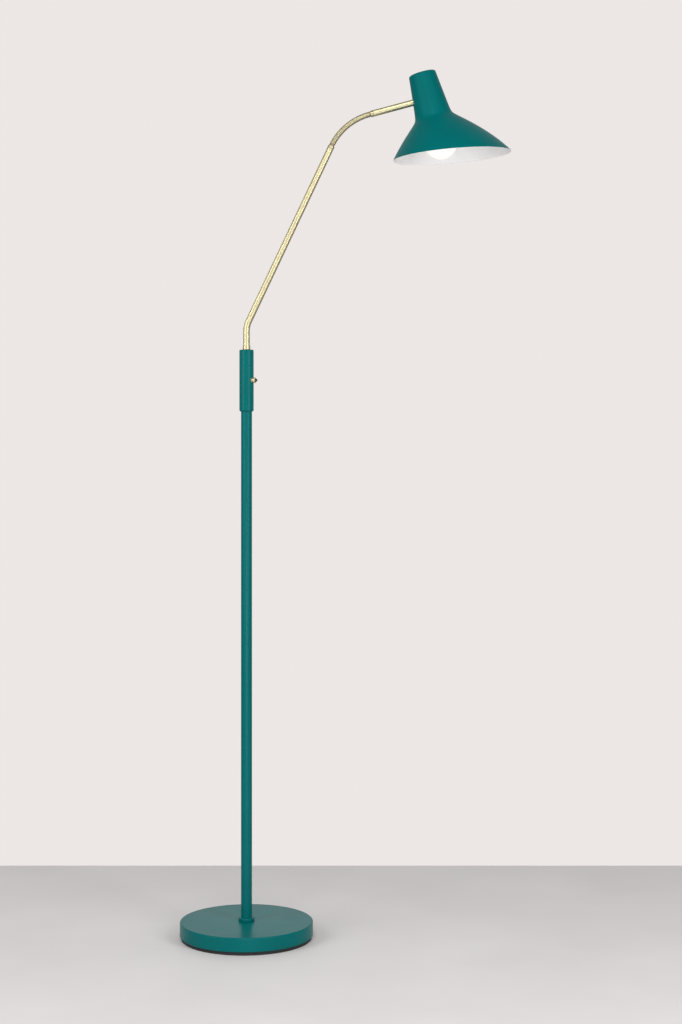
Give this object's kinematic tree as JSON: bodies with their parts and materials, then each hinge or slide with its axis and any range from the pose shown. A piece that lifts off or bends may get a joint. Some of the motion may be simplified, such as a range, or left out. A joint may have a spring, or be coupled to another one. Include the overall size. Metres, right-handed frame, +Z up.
{
  "type": "adjustable arm floor lamp",
  "caption": "Floor lamp on a round weighted base: slim pole, switch sleeve, swivelling bent arm with a flexible neck, and an obliquely cut spun shade.",
  "frame": {"origin": "on the floor, on the axis of the pole, in the middle of the pad's underside", "axes": "+Z up along the pole, +X from the pole towards the shade, which lies in the XZ plane, and +Y away from the switch's side"},
  "size_m": [0.6024, 0.2441, 1.5794],
  "materials": {
    "green_paint": "satin",
    "shade_paint": "satin",
    "brass": "satin",
    "neck_brass": "satin",
    "brass_fittings": "polished",
    "plated_steel": "satin",
    "cast_iron": "matte",
    "pad_foam": "matte",
    "black_plastic": "gloss",
    "lead_jacket": "matte",
    "porcelain": "satin",
    "opal_glass": "satin"
  },
  "bodies": {
    "stand": {"base_pad": "pad_foam", "base_cover": "green_paint", "base_weight": "cast_iron", "base_cord_bush": "black_plastic", "base_nipple": "plated_steel", "base_washer": "plated_steel", "base_nut": "plated_steel", "foot_collar": "green_paint", "pole": "green_paint", "pole_foot_plug": "plated_steel", "sleeve": "green_paint", "sleeve_set_screw": "plated_steel", "swivel_bush": "brass", "swivel_stop_pin": "plated_steel", "switch_body": "black_plastic", "switch_terminal_1": "brass_fittings", "switch_terminal_2": "brass_fittings", "switch_bush": "brass", "switch_bezel": "brass", "lead_in_stand": "lead_jacket"},
    "switch_button": {"switch_button": "black_plastic"},
    "lower_arm": {"lower_arm_tube": "brass", "arm_ferrule": "brass", "swivel_spindle": "plated_steel", "swivel_spring_washer": "plated_steel", "swivel_stop_washer": "plated_steel", "swivel_nut": "brass_fittings", "swivel_lock_nut": "brass_fittings", "lead_in_lower_arm": "lead_jacket", "neck_lower_ferrule": "neck_brass"},
    "neck_1": {"neck_link_1": "neck_brass"},
    "neck_2": {"neck_link_2": "neck_brass"},
    "neck_3": {"neck_link_3": "neck_brass"},
    "neck_4": {"neck_link_4": "neck_brass"},
    "neck_5": {"neck_link_5": "neck_brass"},
    "neck_6": {"neck_link_6": "neck_brass"},
    "neck_7": {"neck_link_7": "neck_brass"},
    "neck_8": {"neck_link_8": "neck_brass"},
    "upper_arm": {"neck_upper_ferrule": "neck_brass", "upper_arm_tube": "brass", "head_nipple": "plated_steel", "head_spring_washer": "plated_steel", "head_nut": "brass_fittings", "lead_in_upper_arm": "lead_jacket"},
    "head": {"shade": "shade_paint", "holder_bracket": "plated_steel", "lampholder_cap": "black_plastic", "lampholder_body": "black_plastic", "lampholder_screw_shell": "brass_fittings", "lampholder_core": "porcelain", "lampholder_contact": "brass_fittings", "holder_nipple": "plated_steel", "holder_nut": "brass_fittings", "bulb_glass": "opal_glass", "bulb_cap": "plated_steel", "bulb_contact": "plated_steel"}
  },
  "joints": [
    {"name": "switch_press", "type": "slide", "parent": "stand", "child": "switch_button", "axis": [-0.8192, 0.5736, 0], "range_m": [0, 0.0016], "stiffness_N_per_m": 600, "springref_m": -0.002},
    {"name": "arm_swivel", "type": "hinge", "parent": "stand", "child": "lower_arm", "pos_m": [0, 0, 1.0705], "axis": [0, 0, 1], "range_deg": [-160, 160]},
    {"name": "neck_bend_1", "type": "hinge", "parent": "lower_arm", "child": "neck_1", "pos_m": [0.1547, 0, 1.44128], "axis": [0, 1, 0], "range_deg": [-18, 10]},
    {"name": "neck_side_1", "type": "hinge", "parent": "neck_1", "child": "neck_2", "pos_m": [0.16021, 0, 1.45147], "axis": [-0.8525, 0, 0.5227], "range_deg": [-15, 15]},
    {"name": "neck_bend_2", "type": "hinge", "parent": "neck_2", "child": "neck_3", "pos_m": [0.1668, 0, 1.461], "axis": [0, 1, 0], "range_deg": [-18, 10]},
    {"name": "neck_side_2", "type": "hinge", "parent": "neck_3", "child": "neck_4", "pos_m": [0.17437, 0, 1.46977], "axis": [-0.7201, 0, 0.6939], "range_deg": [-15, 15]},
    {"name": "neck_bend_3", "type": "hinge", "parent": "neck_4", "child": "neck_5", "pos_m": [0.18285, 0, 1.47766], "axis": [0, 1, 0], "range_deg": [-18, 10]},
    {"name": "neck_side_3", "type": "hinge", "parent": "neck_5", "child": "neck_6", "pos_m": [0.19213, 0, 1.48459], "axis": [-0.5539, 0, 0.8326], "range_deg": [-15, 15]},
    {"name": "neck_bend_4", "type": "hinge", "parent": "neck_6", "child": "neck_7", "pos_m": [0.20211, 0, 1.49048], "axis": [0, 1, 0], "range_deg": [-18, 10]},
    {"name": "neck_side_4", "type": "hinge", "parent": "neck_7", "child": "neck_8", "pos_m": [0.21267, 0, 1.49525], "axis": [-0.3618, 0, 0.9322], "range_deg": [-15, 15]},
    {"name": "neck_bend_5", "type": "hinge", "parent": "neck_8", "child": "upper_arm", "pos_m": [0.22368, 0, 1.49885], "axis": [0, 1, 0], "range_deg": [-18, 10]},
    {"name": "head_turn", "type": "hinge", "parent": "upper_arm", "child": "head", "pos_m": [0.33158, 0, 1.52776], "axis": [0.9659, 0, 0.2588], "range_deg": [-60, 60]}
  ],
  "couplings": [
    {"joint": "neck_bend_2", "follows": "neck_bend_1", "ratio": 1},
    {"joint": "neck_side_2", "follows": "neck_side_1", "ratio": 1},
    {"joint": "neck_bend_3", "follows": "neck_bend_1", "ratio": 1},
    {"joint": "neck_side_3", "follows": "neck_side_1", "ratio": 1},
    {"joint": "neck_bend_4", "follows": "neck_bend_1", "ratio": 1},
    {"joint": "neck_side_4", "follows": "neck_side_1", "ratio": 1},
    {"joint": "neck_bend_5", "follows": "neck_bend_1", "ratio": 1}
  ]
}
